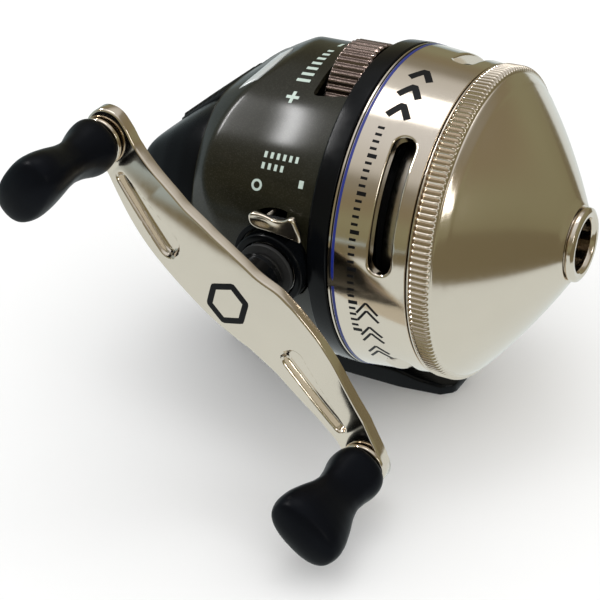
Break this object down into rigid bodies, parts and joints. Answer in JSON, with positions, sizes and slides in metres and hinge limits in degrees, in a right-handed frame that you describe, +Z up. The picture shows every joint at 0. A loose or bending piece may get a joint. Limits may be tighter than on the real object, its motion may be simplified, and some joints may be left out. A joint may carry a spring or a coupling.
{
  "type": "spincast fishing reel",
  "caption": "Closed-face spincast reel with plated cone cover, windowed spool shroud, thumb button, double-paddle crank handle and thumb-wheel drag, on a clamp foot.",
  "frame": {"origin": "middle of the flat underside of the reel foot", "axes": "+X forward, the way the line leaves; +Y to the angler's left, away from the handle; +Z up, away from the rod"},
  "size_m": [0.1219, 0.1271, 0.0898],
  "materials": {
    "champagne_plate": "mirror plated, champagne tint",
    "olive_paint": "dark metallic olive, satin gloss",
    "black_casting": "gloss black",
    "black_plastic": "satin gloss",
    "knob_rubber": "soft satin",
    "seal_rubber": "matte",
    "steel": "turned",
    "brass": "machined",
    "cast_zinc": "die cast",
    "line": "wound dark line",
    "bronze_paint": "metallic bronze"
  },
  "bodies": {
    "housing": {"body_frame": "black_casting", "spool_shroud": "champagne_plate", "rear_cover": "olive_paint", "rear_cover_screw_1": "steel", "rear_cover_screw_2": "steel", "rear_cover_screw_3": "steel", "button_spring": "steel", "crank_bearing": "steel", "crank_bushing": "brass", "crank_seal": "seal_rubber", "pawl_pin": "steel", "pawl_spring": "steel", "pinion_bushing": "brass", "shaft_bracket": "cast_zinc", "bracket_screw_1": "steel", "bracket_screw_2": "steel", "spool_clip": "steel", "drag_axle": "steel", "drag_spring_washer": "steel", "click_spring": "steel"},
    "cover": {"front_cover": "champagne_plate", "nose_ring": "champagne_plate", "cover_o_ring": "seal_rubber"},
    "crank": {"crankshaft": "steel", "drive_gear": "brass", "gear_clip": "steel", "anti_reverse_ratchet": "steel", "handle": "champagne_plate", "handle_hub": "steel", "handle_cap": "champagne_plate", "knob_post_upper": "steel", "knob_post_lower": "steel", "knob_washer_upper": "champagne_plate", "knob_washer_lower": "champagne_plate"},
    "upper_knob": {"knob_upper": "knob_rubber"},
    "lower_knob": {"knob_lower": "knob_rubber"},
    "pinion": {"pinion_gear": "brass"},
    "button": {"thumb_button": "black_plastic"},
    "spinner": {"center_shaft": "steel", "spinner_head": "steel", "spinner_nut": "brass"},
    "pickup": {"pickup_pin": "steel"},
    "spool_body": {"spool": "black_casting", "line_pack": "line"},
    "drag_dial": {"drag_wheel": "bronze_paint"},
    "drag_pressure": {"drag_yoke": "cast_zinc", "drag_ring": "steel"},
    "alert_lever": {"bait_alert_lever": "champagne_plate"},
    "pawl": {"anti_reverse_pawl": "steel"}
  },
  "joints": [
    {"name": "crank_turn", "type": "hinge", "parent": "housing", "child": "crank", "pos_m": [0.0035, 0, 0.049], "axis": [0, 1, 0], "continuous": true},
    {"name": "upper_knob_spin", "type": "hinge", "parent": "crank", "child": "upper_knob", "pos_m": [-0.03056, -0.07, 0.08113], "axis": [0, 1, 0], "continuous": true},
    {"name": "lower_knob_spin", "type": "hinge", "parent": "crank", "child": "lower_knob", "pos_m": [0.03509, -0.07, 0.01216], "axis": [0, 1, 0], "continuous": true},
    {"name": "pinion_spin", "type": "hinge", "parent": "housing", "child": "pinion", "pos_m": [0.017, 0, 0.049], "axis": [1, 0, 0], "continuous": true},
    {"name": "thumb_button_press", "type": "slide", "parent": "housing", "child": "button", "axis": [1, 0, 0], "range_m": [0, 0.006], "stiffness_N_per_m": 500, "springref_m": -0.002, "deforming": ["button_spring"]},
    {"name": "spinner_spin", "type": "hinge", "parent": "button", "child": "spinner", "pos_m": [0.037, 0, 0.049], "axis": [1, 0, 0], "continuous": true},
    {"name": "pickup_pin_retract", "type": "slide", "parent": "spinner", "child": "pickup", "axis": [0, 0.5, 0.866], "range_m": [-0.0019, 0]},
    {"name": "spool_slip", "type": "hinge", "parent": "housing", "child": "spool_body", "pos_m": [0.029, 0, 0.049], "axis": [1, 0, 0], "continuous": true},
    {"name": "drag_wheel_turn", "type": "hinge", "parent": "housing", "child": "drag_dial", "pos_m": [0.0075, 0, 0.0753], "axis": [1, 0, 0], "range_deg": [-135, 135]},
    {"name": "drag_yoke_slide", "type": "slide", "parent": "housing", "child": "drag_pressure", "axis": [1, 0, 0], "range_m": [-0.00031, 0.00031]},
    {"name": "bait_alert_swing", "type": "hinge", "parent": "housing", "child": "alert_lever", "pos_m": [0.0035, -0.04, 0.049], "axis": [0, 1, 0], "range_deg": [-12, 12]},
    {"name": "anti_reverse_pawl_lift", "type": "hinge", "parent": "housing", "child": "pawl", "pos_m": [0.0127, -0.0175, 0.0385], "axis": [0, 1, 0], "range_deg": [-14, 0]},
    {"name": "front_cover_off", "type": "slide", "parent": "housing", "child": "cover", "axis": [1, 0, 0], "range_m": [0, 0.05]}
  ],
  "couplings": [
    {"joint": "pinion_spin", "follows": "crank_turn", "ratio": 2.6},
    {"joint": "spinner_spin", "follows": "crank_turn", "ratio": 2.6},
    {"joint": "pickup_pin_retract", "follows": "thumb_button_press", "ratio": -0.3},
    {"joint": "drag_yoke_slide", "follows": "drag_wheel_turn", "m_per_rad": 0.00013}
  ]
}
